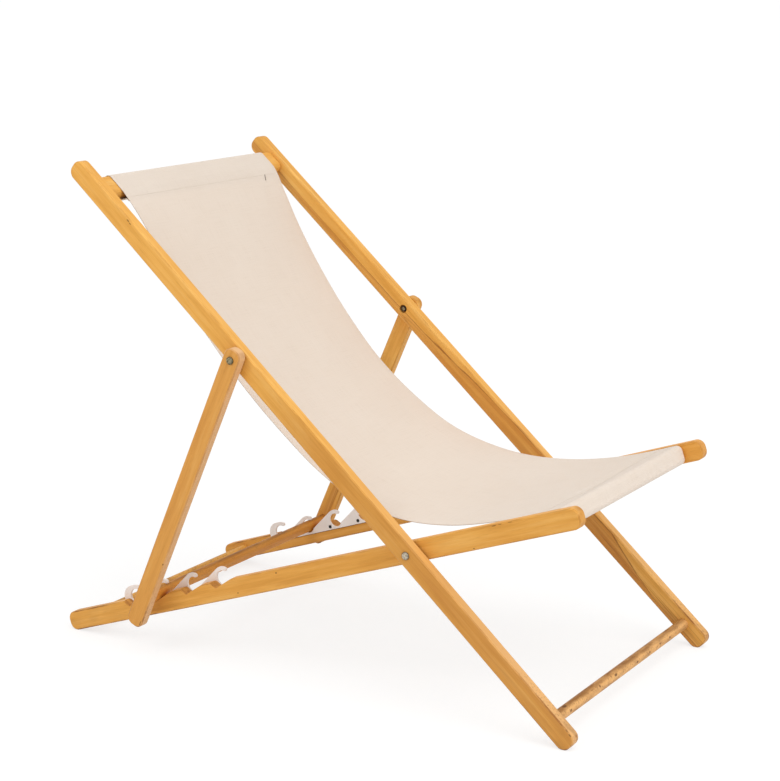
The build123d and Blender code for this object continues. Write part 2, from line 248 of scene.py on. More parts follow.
# Heartwood: its bands, and the edge of a core that keeps to one side of the piece
HEART_BEND, HEART_BANDS, HEART_HIGH = 0.8, (0.44, 0.58), 0.25
CORE_LEAST, CORE_HIGH = 0.5, 0.7
CORE_HEIGHT, CORE_SIDE = (0.08, 0.18), (0.0095, -0.013)  # its edge off the middle line, by height
CORE_NARROWS, CORE_NARROWED = (0.34, 0.56), 0.016
CORE_BANDS, CORE_WANDER = (0.3, 0.7), 0.004
CORE_SOFT = 0.0006
RIM_WIDTH, RIM_DARK = (0.0003, 0.0012), 0.8

# Age, wear and painted light and shade: a height or a turn runs from where it starts to where it is full
SHADE_LOW_HEIGHT = (0.50, 0.42)
LIT_NARROW_HEIGHT, LIT_NARROW_BROAD = (0.42, 0.12), 0.1
ENDS_TURN, ENDS_DARK = (0.35, 0.85), 0.25
WORN_HEIGHT, WORN_BROAD = (0.075, 0.0), 0.2
SCUFFS_BLOTS, SCUFFS_DARK = (0.44, 0.62), 0.75
NEAR_GROUND_HEIGHT = (0.15, 0.05)
SPECKS_SCALE, SPECKS_RANGE, SPECKS_DARK = 280, (0.56, 0.68), 0.5
EDGES_TURN, EDGES_BLOTS, EDGES_DARK = (0.97, 0.86), (0.38, 0.6), (0.3, 0.9)
UPPER_DARK_TURN, UPPER_DARK_BLOTS = (0.6, 0.95), (0.35, 0.6, 0.4, 1.0)
MARK_FADE, MARK_DARK = (0.3, 1.0), 0.78

WOOD_FINISH = {"Specular IOR Level": 0.22}
WOOD_ROUGH = (0.3, 0.7, 0.44, 0.58)  # range of the fibres, and the roughness at its ends
FIBRES_RELIEF = 0.5  # against pores and growth lines
WOOD_RELIEF = (0.18, 0.0005)  # strength and depth, as for each relief below


def drawn_out(tree, grain, seed, stretch):
    """The grain's own axes with lengths along it shrunk, so that a pattern is drawn out."""
    shift = tuple(seed * step for step in SEED_STEPS)
    return add(
        tree, "ShaderNodeMapping", inputs={"Vector": grain, "Location": shift, "Scale": (stretch, 1, 1)},
    ).outputs["Vector"]


def pattern(tree, grain, seed, stretch, scale, detail=2.0, **inputs):
    return noise(tree, drawn_out(tree, grain, seed, stretch), scale, detail, **inputs)


def wood(
    name, along, seed, lines=0.5, tint=PLAIN, shade_low_tint=PLAIN, heart=0.0, core=None, lit_narrow_high=0.0, lit_narrow_low=0.0,
    upper_dark=0.0, marks=(),
):
    """Varnished wood whose grain runs along a direction.

    lines is how strongly the dark growth lines show and heart how strongly the brown heartwood does,
    which keeps to one side of a wandering edge if core is a point in the middle of the piece.
    shade_low_tint is the tint that paints shade on the broad faces low down. lit_narrow_high and
    lit_narrow_low are how far the narrow faces are painted paler, as painted light, high up and near
    the ground, and upper_dark is how much darker the upper side is painted, in blotches. marks are
    small dark knots and nicks, and painted shade in given places: (place, half length along the
    grain, half width).
    """
    material, tree, shader = new_material(name, WOOD_FINISH)
    coordinates = add(tree, "ShaderNodeTexCoord")
    place, normal = coordinates.outputs["Object"], coordinates.outputs["Normal"]
    turn = cross.rotation_difference(along).inverted().to_euler()
    grain = add(tree, "ShaderNodeMapping", inputs={"Vector": place, "Rotation": turn}).outputs["Vector"]
    across = along.cross(cross)
    height = add(tree, "ShaderNodeSeparateXYZ", inputs={"Vector": place}).outputs["Z"]
    sidewise = spread(tree, facing(tree, normal, cross), *SIDEWISE_TURN)
    streaks = pattern(tree, grain, seed, *STREAKS, Roughness=STREAKS_ROUGH)
    fibres = pattern(tree, grain, seed, *FIBRES)
    tones = pattern(tree, grain, seed, *TONES)
    blots = pattern(tree, grain, seed + BLOTS_SEED, *BLOTS)
    tone = ramp(tree, streaks, STREAKS_STOPS)
    tone = mix(tree, 1.0, tone, tint, "MULTIPLY")
    tone = mix(tree, TONES_SHARE, tone, ramp(tree, tones, TONES_STOPS), "MULTIPLY")
    # Painted shade: the broad faces are tinted darker low down
    lower = product(tree, spread(tree, height, *SHADE_LOW_HEIGHT), sidewise)
    tone = mix(tree, lower, tone, mix(tree, 1.0, tone, shade_low_tint, "MULTIPLY"))
    tone = mix(tree, FIBRES_SHARE, tone, ramp(tree, fibres, FIBRES_STOPS), "MULTIPLY")

    # Growth lines: thin dark curves where a drawn-out noise crosses its middle
    ridge = pattern(tree, grain, seed + LINES_SEED, *LINES, Distortion=LINES_BEND)
    away = calculate(tree, "ABSOLUTE", calculate(tree, "SUBTRACT", ridge, 0.5))
    patchy = spread(tree, tones, *PATCHES)
    growth = product(
        tree, spread(tree, away, 0.0, LINE_WIDTH, 1.0, 0.0),
        spread(tree, height, *FIGURED_HEIGHT, LINES_HIGH * lines, lines), patchy,
        spread(tree, sidewise, 0.0, 1.0, LINES_NARROW, 1.0),
    )
    if heart:
        bands = pattern(tree, grain, seed + HEART_SEED, *HEART, Distortion=HEART_BEND)
        least, high = (CORE_LEAST * heart, CORE_HIGH) if core else (0.0, HEART_HIGH)
        brown = product(
            tree, spread(tree, bands, *HEART_BANDS, least, heart), sidewise,
            spread(tree, height, *FIGURED_HEIGHT, high, 1.0),
        )
        if core:
            past = calculate(tree, "SUBTRACT", dot(tree, place, across), across.dot(core))
            past = calculate(tree, "SUBTRACT", past, spread(tree, height, *CORE_HEIGHT, *CORE_SIDE))
            past = calculate(tree, "SUBTRACT", past, spread(tree, height, *CORE_NARROWS, 0.0, CORE_NARROWED))
            past = calculate(tree, "ADD", past, spread(tree, bands, *CORE_BANDS, -CORE_WANDER, CORE_WANDER))
            rim = spread(tree, calculate(tree, "ABSOLUTE", past), *RIM_WIDTH, RIM_DARK, 0.0)
            growth = calculate(tree, "MAXIMUM", growth, product(tree, rim, sidewise))
            inside = product(tree, spread(tree, past, -CORE_SOFT, CORE_SOFT), sidewise)
            brown = product(tree, brown, inside)
        tone = mix(tree, brown, tone, WOOD_HEART)
    tone = mix(tree, growth, tone, WOOD_LINE_AND_SHADE)

    # Open pores: short dark dashes along the grain
    cells = add(
        tree, "ShaderNodeTexVoronoi",
        inputs={"Vector": drawn_out(tree, grain, seed, PORES_STRETCH), "Scale": PORES_SCALE},
    ).outputs["Distance"]
    pores = product(tree, spread(tree, cells, *PORES_SIZE, PORES_DARK, 0.0), patchy)
    tone = mix(tree, pores, tone, WOOD_LINE_AND_SHADE)

    # Faces across the grain are darker: end grain drinks more varnish, and the same darkening paints the
    # shade on the walls of the notches
    end_grain_and_shade = spread(tree, facing(tree, normal, along), *ENDS_TURN, 0.0, ENDS_DARK)
    tone = mix(tree, end_grain_and_shade, tone, WOOD_LINE_AND_SHADE)

    # Painted light: the narrow faces are painted paler, by a share that changes with height. Then scuffs and
    # specks of dirt near the ground
    narrow_light = spread(tree, height, *LIT_NARROW_HEIGHT, lit_narrow_high, lit_narrow_low)
    narrow_light = product(tree, narrow_light, spread(tree, sidewise, 0.0, 1.0, 1.0, LIT_NARROW_BROAD))
    tone = mix(tree, narrow_light, tone, WOOD_LIT_NARROW)
    low = product(
        tree, spread(tree, height, *WORN_HEIGHT), spread(tree, sidewise, 1.0, 0.0, WORN_BROAD),
    )
    scuffs = spread(tree, blots, *SCUFFS_BLOTS, 0.0, SCUFFS_DARK)
    tone = mix(tree, product(tree, scuffs, low), tone, WOOD_WORN)
    specks = spread(tree, noise(tree, place, SPECKS_SCALE), *SPECKS_RANGE, 0.0, SPECKS_DARK)
    dirty = product(tree, spread(tree, height, *NEAR_GROUND_HEIGHT), spread(tree, sidewise, 1.0, 0.0))
    tone = mix(tree, product(tree, specks, dirty), tone, WOOD_WORN)

    # Darker eased edges on the rails and legs, in blotches: dirt, growing towards the ground, and painted
    # shade on the rounded edges at every height. Then a darker upper side
    if along != cross:
        flat = 0.0
        for way in (along, cross, across):
            flat = calculate(tree, "MAXIMUM", facing(tree, normal, way), flat)
        edges = product(
            tree, spread(tree, flat, *EDGES_TURN), spread(tree, blots, *EDGES_BLOTS),
            spread(tree, height, *NEAR_GROUND_HEIGHT, *EDGES_DARK),
        )
        tone = mix(tree, edges, tone, WOOD_LINE_AND_SHADE)
    # The upper side is painted darker, in blotches
    if upper_dark:
        upward = add(tree, "ShaderNodeSeparateXYZ", inputs={"Vector": normal}).outputs["Z"]
        upper_darkened = product(
            tree, spread(tree, upward, *UPPER_DARK_TURN, 0.0, upper_dark), spread(tree, blots, *UPPER_DARK_BLOTS),
        )
        tone = mix(tree, upper_darkened, tone, WOOD_UPPER_DARK)

    # Knots and nicks, and painted shade in given places: dark ellipsoids, whose reach is 1 at their surface
    for spot, half_length, half_width in marks:
        off = add(tree, "ShaderNodeVectorMath", operation="SUBTRACT", inputs={0: place, 1: spot})
        run = dot(tree, off.outputs["Vector"], along / half_length)
        total = dot(tree, off.outputs["Vector"], off.outputs["Vector"])
        lengthwise = product(tree, run, run)
        aside = calculate(
            tree, "SUBTRACT", calculate(tree, "DIVIDE", total, half_width ** 2),
            product(tree, lengthwise, (half_length / half_width) ** 2),
        )
        reach = calculate(tree, "ADD", aside, lengthwise)
        tone = mix(tree, spread(tree, reach, *MARK_FADE, MARK_DARK, 0.0), tone, WOOD_KNOT_AND_SHADE)
    tree.links.new(tone, shader.inputs["Base Color"])

    tree.links.new(spread(tree, fibres, *WOOD_ROUGH), shader.inputs["Roughness"])
    dips = calculate(tree, "ADD", pores, growth)
    relief = calculate(tree, "SUBTRACT", product(tree, fibres, FIBRES_RELIEF), dips)
    emboss(tree, shader, relief, *WOOD_RELIEF)
    return material


# Canvas, thread, plastic and metal

CANVAS_STOPS = [(0.30, colour("D8C9BA")), (0.50, colour("DED0C2"))]
CLOUDS_SCALE, CLOUDS_DETAIL = 6, 3
CLOUDS_STOPS, CLOUDS_SHARE = [(0.35, (0.95, 0.93, 0.91)), (0.65, PLAIN)], 0.35
WEAVE_PITCH = 0.0011  # one thread of the cloth
WEAVE_SHADE = 0.95  # in the dips of the weave
SLUB_LENGTH, SLUB_WIDTH = 0.05, 0.0011  # thicker stretches of a thread
SLUB_RELIEF, CANVAS_RELIEF = 0.6, (0.22, 0.0003)
CANVAS_FINISH = {
    "Roughness": 0.92, "Specular IOR Level": 0.12, "Sheen Weight": 0.12, "Sheen Roughness": 0.5,
    "Subsurface Weight": 0.3, "Subsurface Radius": (1.0, 1.0, 1.0), "Subsurface Scale": 0.003,
}


def canvas_material():
    """Plain-woven unbleached cotton; U runs across the sling and V along it, in metres."""
    material, tree, shader = new_material("canvas", CANVAS_FINISH)
    layout = add(tree, "ShaderNodeUVMap", uv_map="cloth").outputs["UV"]
    parts = add(tree, "ShaderNodeSeparateXYZ", inputs={"Vector": layout})
    turn = math.pi / WEAVE_PITCH
    warp = calculate(tree, "SINE", product(tree, parts.outputs["X"], turn))
    weft = calculate(tree, "SINE", product(tree, parts.outputs["Y"], turn))
    weave = product(tree, warp, weft)
    slubs = 0.0
    for scale in ((1 / SLUB_WIDTH, 1 / SLUB_LENGTH, 1), (1 / SLUB_LENGTH, 1 / SLUB_WIDTH, 1)):
        stretched = add(tree, "ShaderNodeMapping", inputs={"Vector": layout, "Scale": scale})
        slubs = calculate(tree, "ADD", noise(tree, stretched.outputs["Vector"], 1.0, 1), slubs)
    tone = ramp(tree, product(tree, slubs, 0.5), CANVAS_STOPS)
    clouds = noise(tree, layout, CLOUDS_SCALE, CLOUDS_DETAIL)
    tone = mix(tree, CLOUDS_SHARE, tone, ramp(tree, clouds, CLOUDS_STOPS), "MULTIPLY")
    tone = mix(tree, 1.0, tone, spread(tree, weave, -1.0, 1.0, WEAVE_SHADE, 1.0), "MULTIPLY")
    tree.links.new(tone, shader.inputs["Base Color"])
    height = calculate(tree, "ADD", weave, product(tree, slubs, SLUB_RELIEF))
    emboss(tree, shader, height, *CANVAS_RELIEF)
    return material


SPUN_SCALE = 1500  # fineness of the fibres in a thread
THREAD_FINISH = {"Roughness": 0.8}


def thread_material(name, dark, light):
    """Spun cotton thread."""
    material, tree, shader = new_material(name, THREAD_FINISH)
    place = add(tree, "ShaderNodeTexCoord").outputs["Object"]
    tone = ramp(tree, noise(tree, place, SPUN_SCALE), [(0.3, colour(dark)), (0.7, colour(light))])
    tree.links.new(tone, shader.inputs["Base Color"])
    return material


PLASTIC_STOPS = [(0.3, colour("EBE1DA")), (0.7, colour("F5EDE8"))]
PLASTIC_SCALE, PLASTIC_DETAIL = 35, 3
GRIT_SCALE, GRIT_RELIEF = 2600, (0.12, 0.0002)
PLASTIC_FINISH = {"Roughness": 0.42}


def plastic_material():
    """Off-white moulded plastic with a fine matt skin."""
    material, tree, shader = new_material("hook_plastic", PLASTIC_FINISH)
    place = add(tree, "ShaderNodeTexCoord").outputs["Object"]
    tone = ramp(tree, noise(tree, place, PLASTIC_SCALE, PLASTIC_DETAIL), PLASTIC_STOPS)
    tree.links.new(tone, shader.inputs["Base Color"])
    emboss(tree, shader, noise(tree, place, GRIT_SCALE), *GRIT_RELIEF)
    return material


SMEAR_SCALE, SMEAR_DETAIL, SMEAR_RELIEF = 420, 4, (0.1, 0.0002)
SMEAR_DARK, SMEAR_LIGHT = 0.35, 0.65
SMEAR_ROUGH = 0.08
HEAD_RIM_SHADE = colour("2E2318")
HEAD_TURN, HEAD_DARK = (0.55, 0.93), 0.75


def metal_material(name, light, dark, roughness, metallic=1.0):
    """Plated, tarnished or blackened steel with faint smears."""
    material, tree, shader = new_material(name, {"Metallic": metallic})
    coordinates = add(tree, "ShaderNodeTexCoord")
    smear = noise(tree, coordinates.outputs["Object"], SMEAR_SCALE, SMEAR_DETAIL)
    tone = ramp(tree, smear, [(SMEAR_DARK, colour(dark)), (SMEAR_LIGHT, colour(light))])
    # Painted shade on the sides of a head, which face away from the pivot's axis, for the dark gap round it
    axial = facing(tree, coordinates.outputs["Normal"], cross)
    tone = mix(tree, spread(tree, axial, *HEAD_TURN, HEAD_DARK, 0.0), tone, HEAD_RIM_SHADE)
    tree.links.new(tone, shader.inputs["Base Color"])
    rough = spread(tree, smear, 0.3, 0.7, roughness - SMEAR_ROUGH, roughness + SMEAR_ROUGH)
    tree.links.new(rough, shader.inputs["Roughness"])
    emboss(tree, shader, smear, *SMEAR_RELIEF)
    return material


# Meshes


def give(obj, material):
    obj.data.materials.clear()
    obj.data.materials.append(material)


def new_object(name, mesh):
    for polygon in mesh.polygons:
        polygon.use_smooth = True
    obj = bpy.data.objects.new(name, mesh)
    bpy.context.collection.objects.link(obj)
    return obj


WOOD_EASE, BOLT_EASE = 0.0018, 0.0003
EASE_SEGMENTS, EASE_ANGLE = 3, 28.0  # only edges sharper than this are rounded, degrees
WELD_GAP = 0.00001
FLAT_WEIGHT = 100  # the large faces decide the shading


def soften(obj, ease=0.0):
    """Rounds the eased edges of a rail or bolt by a little, and leaves its flats flat."""
    weld = obj.modifiers.new("weld", "WELD")
    weld.merge_threshold = WELD_GAP
    if ease:
        bevel = obj.modifiers.new("ease", "BEVEL")
        bevel.width = ease
        bevel.segments = EASE_SEGMENTS
        bevel.limit_method = "ANGLE"
        bevel.angle_limit = math.radians(EASE_ANGLE)
        bevel.use_clamp_overlap = True
    for polygon in obj.data.polygons:
        polygon.use_smooth = True
    normals = obj.modifiers.new("normals", "WEIGHTED_NORMAL")
    normals.weight = FLAT_WEIGHT
    normals.keep_sharp = True


# Hook plates, with the full tip that the solids cut back on the hook in use

BAR_PLACES = [0.404 + 0.0665 * i for i in range(4)]  # main pivot to the bar in each notch
BAR_RISE = 0.01832  # bar above the seat rail's middle line
MOUTH_RADIUS = 0.0128
HOOK_WALL = 0.007
HOOK_SLOPE = 28.0  # straight back of a hook above the rail's line, degrees
HOOK_CURL = 32.0  # the hook ends this far forward of its crown, degrees
LAST_BACK, LAST_ROUND = 0.028, 0.020  # the rear hook's back behind the bar, and its round corner
PLATE_FOOT, STRIP_TOP = 0.002, 0.012  # edges of the strip, above the rail's middle line
PLATE_FRONT = 0.016  # the strip's front end, ahead of the first bar place
PLATE_THICKNESS = 0.004
RIM_ROUND = 0.0006
ARC_STEP = 8.0  # degrees between points of an arc


def arc(middle, radius, start, end):
    """Points of an arc between two angles, degrees from the rear and rising."""
    count = max(2, round(abs(end - start) / ARC_STEP))
    points = []
    for i in range(count + 1):
        turn = math.radians(start + (end - start) * i / count)
        points.append((middle[0] + radius * math.cos(turn), middle[1] + radius * math.sin(turn)))
    return points


def hook_outline():
    """Outline of a hook plate in the seat rail's axes, from the rear foot forward over the hooks."""
    rear = BAR_PLACES[-1] + LAST_BACK
    outer = MOUTH_RADIUS + HOOK_WALL
    lip = 180 + math.degrees(math.asin((BAR_RISE - STRIP_TOP) / MOUTH_RADIUS))
    points = [(rear, PLATE_FOOT)]
    points += arc((rear - LAST_ROUND, BAR_RISE + outer - LAST_ROUND), LAST_ROUND, 0, 90)
    for place in reversed(BAR_PLACES):
        bar = (place, BAR_RISE)
        start = 90 if place == BAR_PLACES[-1] else 90 - HOOK_SLOPE
        points += arc(bar, outer, start, 90 + HOOK_CURL)
        tip = arc(bar, MOUTH_RADIUS + HOOK_WALL / 2, 90 + HOOK_CURL, 90 + HOOK_CURL)[0]
        points += arc(tip, HOOK_WALL / 2, 90 + HOOK_CURL, 270 + HOOK_CURL)[1:-1]
        points += arc(bar, MOUTH_RADIUS, 90 + HOOK_CURL, lip - 360)
    front = BAR_PLACES[0] - PLATE_FRONT
    return points + [(front, STRIP_TOP), (front, PLATE_FOOT)]


def make_hook_plate(side, material):
    """A moulded plate with its rims eased, on the seat rail's inner face."""
    name = f"hook_plate_{side}"
    curve = bpy.data.curves.new("outline", "CURVE")
    curve.dimensions = "2D"
    curve.fill_mode = "BOTH"
    curve.extrude = PLATE_THICKNESS / 2 - RIM_ROUND
    curve.bevel_depth = RIM_ROUND
    curve.bevel_resolution = 2
    curve.offset = -RIM_ROUND
    outline = hook_outline()
    spline = curve.splines.new("POLY")
    spline.points.add(len(outline) - 1)
    for point, (along, across) in zip(spline.points, outline):
        point.co = (along, across, 0, 1)
    spline.use_cyclic_u = True
    drawn = bpy.data.objects.new("outline", curve)
    mesh = bpy.data.meshes.new_from_object(drawn)
    bpy.data.objects.remove(drawn)
    mesh.name = f"{name}_moulding"
    middle = centre(name).x
    turned = Matrix((
        (0, 0, 1, middle),
        (seat_along.y, seat_across.y, 0, MAIN_PIVOT.y),
        (seat_along.z, seat_across.z, 0, MAIN_PIVOT.z),
        (0, 0, 0, 1),
    ))
    mesh.transform(turned)
    plate = new_object(f"{name}_moulding", mesh)
    soften(plate)
    give(plate, material)
    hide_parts(name)
    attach(plate, "seat_frame")


# Screw heads, turned from a profile of shares of the radius and of the height

SCREW_BEHIND = 0.016  # behind the bar's place
SCREW_ABOVE = 0.008  # above the rail's middle line
SCREW_RADIUS = 0.0032
SCREW_PROUD = 0.0015
SCREW_PROFILE = [(1.0, 0.0), (1.0, 0.4), (0.9, 0.75), (0.62, 0.95), (0.34, 1.0), (0.3, 0.4), (0.0, 0.3)]
TURNING_STEPS = 24


def turned_mesh(name, profile, radius, proud, spots, sign):
    """Round heads on a face, lathed about X."""
    build = bmesh.new()
    for spot in spots:
        rings = []
        for out, rise in profile:
            ring = []
            for i in range(TURNING_STEPS if out else 1):
                turn = math.tau * i / TURNING_STEPS
                ring.append(build.verts.new((
                    spot.x + sign * rise * proud,
                    spot.y + out * radius * math.cos(turn),
                    spot.z + out * radius * math.sin(turn),
                )))
            rings.append(ring)
        for outer, inner in zip(rings, rings[1:]):
            for i in range(TURNING_STEPS):
                corners = [outer[i], outer[i - 1], inner[(i - 1) % len(inner)]]
                if len(inner) > 1:
                    corners.append(inner[i])
                build.faces.new(corners)
    bmesh.ops.recalc_face_normals(build, faces=build.faces)
    mesh = bpy.data.meshes.new(name)
    build.to_mesh(mesh)
    build.free()
    return new_object(name, mesh)


def make_screws(side, material):
    """The heads of the screws that hold one hook plate: low domes with a driver recess."""
    sign = sides[side]
    face = centre(f"hook_plate_{side}").x - sign * PLATE_THICKNESS / 2
    spots = []
    for place in BAR_PLACES:
        spot = MAIN_PIVOT + seat_along * (place + SCREW_BEHIND) + seat_across * SCREW_ABOVE
        spots.append(Vector((face, spot.y, spot.z)))
    heads = turned_mesh(f"hook_screws_{side}", SCREW_PROFILE, SCREW_RADIUS, SCREW_PROUD, spots, -sign)
    give(heads, material)
    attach(heads, "seat_frame")


# Canvas sling

HALF_WIDTH = (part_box("canvas_sling")[1].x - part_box("canvas_sling")[0].x) / 2
CANVAS_THICKNESS = 0.0012
CANVAS_GAP = 0.0005  # cloth off the wood
TOP_SLAT = (0.042, 0.020)  # along the back rail, and across it
FRONT_SLAT = (0.020, 0.030)
SLAT_ROUND = 0.008
SLEEVE_ROUND = SLAT_ROUND + CANVAS_GAP
# The sling between its slats: along the chord from the top slat to the front slat, depth below
# it, and how much deeper the right edge hangs than the middle, as shares of the chord
SAG_SHARES = [
    (0.05, 0.025, 0.006), (0.10, 0.055, 0.0115), (0.20, 0.113, 0.013), (0.30, 0.158, 0.016),
    (0.40, 0.193, 0.017), (0.50, 0.215, 0.014), (0.60, 0.2255, 0.008), (0.68, 0.218, 0.001),
    (0.76, 0.193, -0.003), (0.84, 0.148, -0.004), (0.92, 0.083, -0.002),
]
ROWS_ACROSS = 56
STEP_ALONG = 0.006
TOP_SEAM, FRONT_SEAM = 3, -4  # rows of the open sling at which the sleeves are sewn
SEAM_DIP = 0.0002  # the thread draws the cloth in this far
# A slack crease behind the front sleeve: (share of the half width, distance from the slat), twice
CREASE_START, CREASE_END = (-0.64, 0.011), (0.45, 0.030)
CREASE_DEPTH, CREASE_WIDTH = 0.0040, 0.012
CREASE_DEEPEST = 0.1  # share of its run from start to end
CREASE_FADES = (2.2, 0.7)  # loss of depth over one run, before and past the deepest place
CORNER_STEPS = 6


def arc_corner(before, corner, after, radius):
    """Points of a round corner between two straight runs."""
    a, b = (before - corner).normalized(), (after - corner).normalized()
    half = math.acos(max(-1.0, min(1.0, a.dot(b)))) / 2
    reach = radius / math.tan(half)
    middle = corner + (a + b).normalized() * (radius / math.sin(half))
    start, end = corner + a * reach - middle, corner + b * reach - middle
    turn = start.rotation_difference(end)
    points = []
    for i in range(CORNER_STEPS + 1):
        points.append(middle + Matrix.Rotation(turn.angle * i / CORNER_STEPS, 3, turn.axis) @ start)
    return points


def loop_points(corners, radius):
    """A bent line with round corners; its ends stay."""
    points = [corners[0]]
    for before, corner, after in zip(corners, corners[1:], corners[2:]):
        points += arc_corner(before, corner, after, radius)
    return points + [corners[-1]]


def smooth_line(points, start, end, count):
    """Evenly spaced points of a cubic through the given ones, with end directions."""
    knots = [0.0]
    for a, b in zip(points, points[1:]):
        knots.append(knots[-1] + (b - a).length)
    tangents = [start.normalized()]
    for i in range(1, len(points) - 1):
        before = (points[i] - points[i - 1]) / (knots[i] - knots[i - 1])
        after = (points[i + 1] - points[i]) / (knots[i + 1] - knots[i])
        wide = knots[i + 1] - knots[i - 1]
        tangents.append((before * (knots[i + 1] - knots[i]) + after * (knots[i] - knots[i - 1])) / wide)
    tangents.append(end.normalized())
    line = []
    for i in range(count + 1):
        at = knots[-1] * i / count
        k = max(j for j in range(len(knots) - 1) if knots[j] <= at + 1e-9)
        span = knots[k + 1] - knots[k]
        t = (at - knots[k]) / span
        line.append(
            points[k] * (2 * t**3 - 3 * t**2 + 1) + tangents[k] * span * (t**3 - 2 * t**2 + t)
            + points[k + 1] * (3 * t**2 - 2 * t**3) + tangents[k + 1] * span * (t**3 - t**2)
        )
    return line


top_slat_place = centre("top_rail")
front_slat_place = centre("front_rail")


def on_top_slat(along, across):
    return Vector((0, top_slat_place.y, top_slat_place.z)) + back_along * along + back_across * across


def on_front_slat(along, across):
    return Vector((0, front_slat_place.y, front_slat_place.z)) + seat_along * along + seat_across * across


top_edge = (TOP_SLAT[0] / 2 + CANVAS_GAP, TOP_SLAT[1] / 2 + CANVAS_GAP)
front_edge = (FRONT_SLAT[0] / 2 + CANVAS_GAP, FRONT_SLAT[1] / 2 + CANVAS_GAP)
leave = on_top_slat(-TOP_SLAT[0] / 2 + SLAT_ROUND, top_edge[1])
reach = on_front_slat(FRONT_SLAT[0] / 2 - SLAT_ROUND, front_edge[1])
chord = reach - leave
chord_down = Vector((0, -chord.z, chord.y))


def open_line(share):
    """The sling's inner line between its slats, at a share of its half width."""
    sag = [leave + chord * along + chord_down * (deep + tilt * share) for along, deep, tilt in SAG_SHARES]
    rows = smooth_line([leave, *sag, reach], -back_along, -seat_along, round(chord.length / STEP_ALONG))
    rows[TOP_SEAM] -= back_across * SEAM_DIP
    rows[FRONT_SEAM] -= seat_across * SEAM_DIP
    run = (share - CREASE_START[0]) / (CREASE_END[0] - CREASE_START[0])
    crease = CREASE_START[1] + (CREASE_END[1] - CREASE_START[1]) * run
    fade = max(0.0, 1 - abs(run - CREASE_DEEPEST) * CREASE_FADES[run > CREASE_DEEPEST])
    for i in range(len(rows) // 2, len(rows) - 1):
        away = abs((reach - rows[i]).length - crease) / CREASE_WIDTH
        if away < 1:
            rows[i] -= seat_across * CREASE_DEPTH * fade * (1 - away * away) ** 2
    return rows


def sling_line(share):
    """The sling's inner line at a share of its half width, from the rear hem to the front hem."""
    rows = open_line(share)
    top_corners = [
        *(rows[TOP_SEAM + row] - back_across * CANVAS_GAP for row in (1, 0)),
        on_top_slat(-top_edge[0], -top_edge[1]), on_top_slat(top_edge[0], -top_edge[1]),
        on_top_slat(*top_edge), leave,
    ]
    front_corners = [
        reach, on_front_slat(-front_edge[0], front_edge[1]), on_front_slat(-front_edge[0], -front_edge[1]),
        on_front_slat(front_edge[0], -front_edge[1]),
        *(rows[FRONT_SEAM - row] - seat_across * CANVAS_GAP for row in (0, 1)),
    ]
    return loop_points(top_corners, SLEEVE_ROUND) + rows[1:-1] + loop_points(front_corners, SLEEVE_ROUND)


def make_canvas():
    """The sling as one woven sheet, and the length it was cut to."""
    mesh = bpy.data.meshes.new("canvas_cloth")
    columns = [i / ROWS_ACROSS * 2 - 1 for i in range(ROWS_ACROSS + 1)]
    lines = [sling_line(share) for share in columns]
    middle = lines[ROWS_ACROSS // 2]
    lengths = [0.0]
    for a, b in zip(middle, middle[1:]):
        lengths.append(lengths[-1] + (b - a).length)
    vertices, layout = [], []
    for share, line in zip(columns, lines):
        for point, length in zip(line, lengths):
            vertices.append((share * HALF_WIDTH, point.y, point.z))
            layout.append((share * HALF_WIDTH, length))
    rows = len(middle)
    faces = []
    for i in range(ROWS_ACROSS):
        for j in range(rows - 1):
            faces.append((i * rows + j, i * rows + j + 1, (i + 1) * rows + j + 1, (i + 1) * rows + j))
    mesh.from_pydata(vertices, [], faces)
    uv = mesh.uv_layers.new(name="cloth")
    for loop in mesh.loops:
        uv.data[loop.index].uv = layout[loop.vertex_index]
    mesh.update()
    cloth = new_object("canvas_cloth", mesh)
    thick = cloth.modifiers.new("thickness", "SOLIDIFY")
    thick.thickness = CANVAS_THICKNESS
    thick.offset = 1
    thick.use_even_offset = True
    normals = cloth.modifiers.new("normals", "WEIGHTED_NORMAL")
    normals.weight = FLAT_WEIGHT
    give(cloth, canvas_material())
    return cloth, lengths[-1]


STITCH_PITCH, STITCH_LENGTH = 0.004, 0.0031
# A stitch's path: along it in lengths, and off the cloth in thread radii
STITCH_PATH = ((-0.5, -1.6), (-0.3, 0.1), (0.0, 0.6), (0.3, 0.1), (0.5, -1.6))
THREAD_RADIUS = 0.00028
THREAD_SIDES = 6
HEM_MARGIN = 0.004  # the stitches end this far from the cloth's edges


def thread_tube(build, points, radii):
    """A closed round thread through points, pointed where the first and last radius are zero."""
    rings = []
    for i, (point, radius) in enumerate(zip(points, radii)):
        ahead = points[min(i + 1, len(points) - 1)] - points[max(i - 1, 0)]
        u = ahead.orthogonal().normalized()
        v = ahead.cross(u).normalized()
        ring = []
        for k in range(THREAD_SIDES if radius else 1):
            turn = math.tau * k / THREAD_SIDES
            ring.append(build.verts.new(point + (u * math.cos(turn) + v * math.sin(turn)) * radius))
        rings.append(ring)
    for a, b in zip(rings, rings[1:]):
        for k in range(THREAD_SIDES):
            corners = [a[k % len(a)], a[(k + 1) % len(a)], b[(k + 1) % len(b)], b[k % len(b)]]
            build.faces.new(list(dict.fromkeys(corners)))


def finish_thread(build, name, material, body):
    bmesh.ops.recalc_face_normals(build, faces=build.faces)
    mesh = bpy.data.meshes.new(name)
    build.to_mesh(mesh)
    build.free()
    thread = new_object(name, mesh)
    give(thread, material)
    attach(thread, body)


LOOSE_START, LOOSE_END = (0.82, 0.017), (0.79, 0.029)  # share of the half width, below the top slat
LOOSE_RADIUS, LOOSE_STEPS = 0.0006, 8
LOOSE_BOW = 0.35  # how far its line bows, in shares of its run across
LOOSE_LIFT, LOOSE_CURL = 0.7, 1.5  # its middle off the cloth, and how much more at its end, in radii


